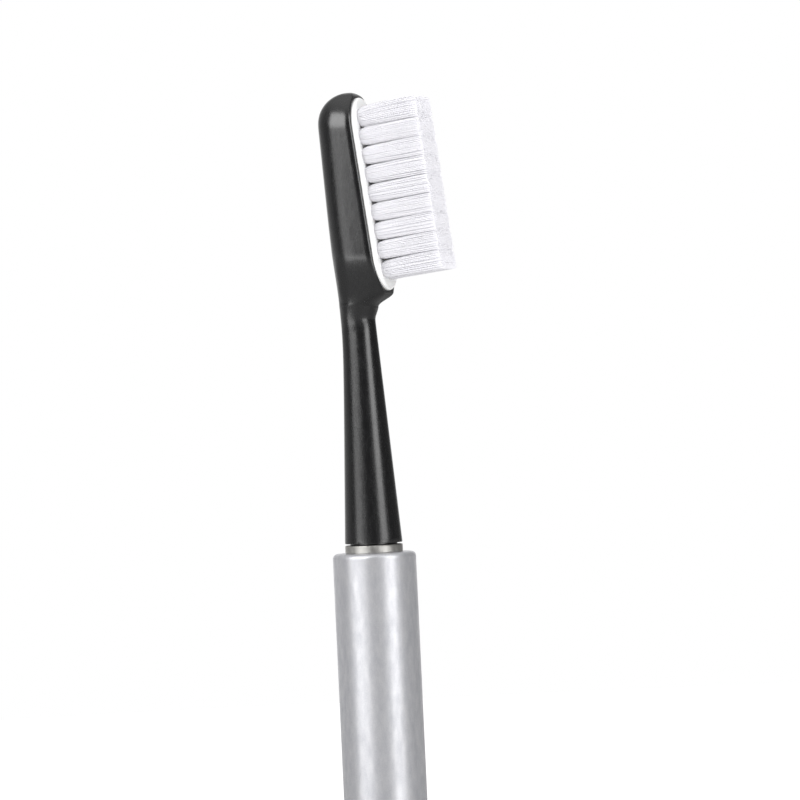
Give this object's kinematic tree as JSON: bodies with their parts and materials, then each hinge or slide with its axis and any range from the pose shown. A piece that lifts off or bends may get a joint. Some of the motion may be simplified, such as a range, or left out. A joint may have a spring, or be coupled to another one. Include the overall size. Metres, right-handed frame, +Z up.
{
  "type": "cleaning brush with metal handle",
  "caption": "Slim brush with a round metal handle like a pen's and a pull-off black head that carries a block of white bristles on one side, for cleaning small surfaces.",
  "frame": {"origin": "centre of the handle's flat bottom end", "axes": "+Z up the handle's axis, +X the way the bristles point, +Y across the head"},
  "size_m": [0.0194, 0.012, 0.1882],
  "materials": {
    "handle_metal": "satin",
    "plug_metal": "satin",
    "steel": "satin",
    "rubber": "matte",
    "black_plastic": "satin gloss",
    "white_plastic": "satin",
    "bristle": "translucent nylon filament"
  },
  "bodies": {
    "handle": {"handle_tube": "handle_metal", "end_plug": "plug_metal", "connector": "steel", "connector_o_ring": "rubber"},
    "brush_head": {"head_shell": "black_plastic", "bristle_plate": "white_plastic", "tuft_1_1": "bristle", "tuft_1_2": "bristle", "tuft_1_3": "bristle", "tuft_2_1": "bristle", "tuft_2_2": "bristle", "tuft_2_3": "bristle", "tuft_2_4": "bristle", "tuft_3_1": "bristle", "tuft_3_2": "bristle", "tuft_3_3": "bristle", "tuft_3_4": "bristle", "tuft_4_1": "bristle", "tuft_4_2": "bristle", "tuft_4_3": "bristle", "tuft_4_4": "bristle", "tuft_5_1": "bristle", "tuft_5_2": "bristle", "tuft_5_3": "bristle", "tuft_5_4": "bristle", "tuft_6_1": "bristle", "tuft_6_2": "bristle", "tuft_6_3": "bristle", "tuft_6_4": "bristle", "tuft_7_1": "bristle", "tuft_7_2": "bristle", "tuft_7_3": "bristle", "tuft_7_4": "bristle", "tuft_8_1": "bristle", "tuft_8_2": "bristle", "tuft_8_3": "bristle", "tuft_8_4": "bristle", "tuft_9_1": "bristle", "tuft_9_2": "bristle", "tuft_9_3": "bristle"}
  },
  "joints": [
    {"name": "head_pull", "type": "slide", "parent": "handle", "child": "brush_head", "axis": [0, 0, 1], "range_m": [0, 0.016]}
  ]
}
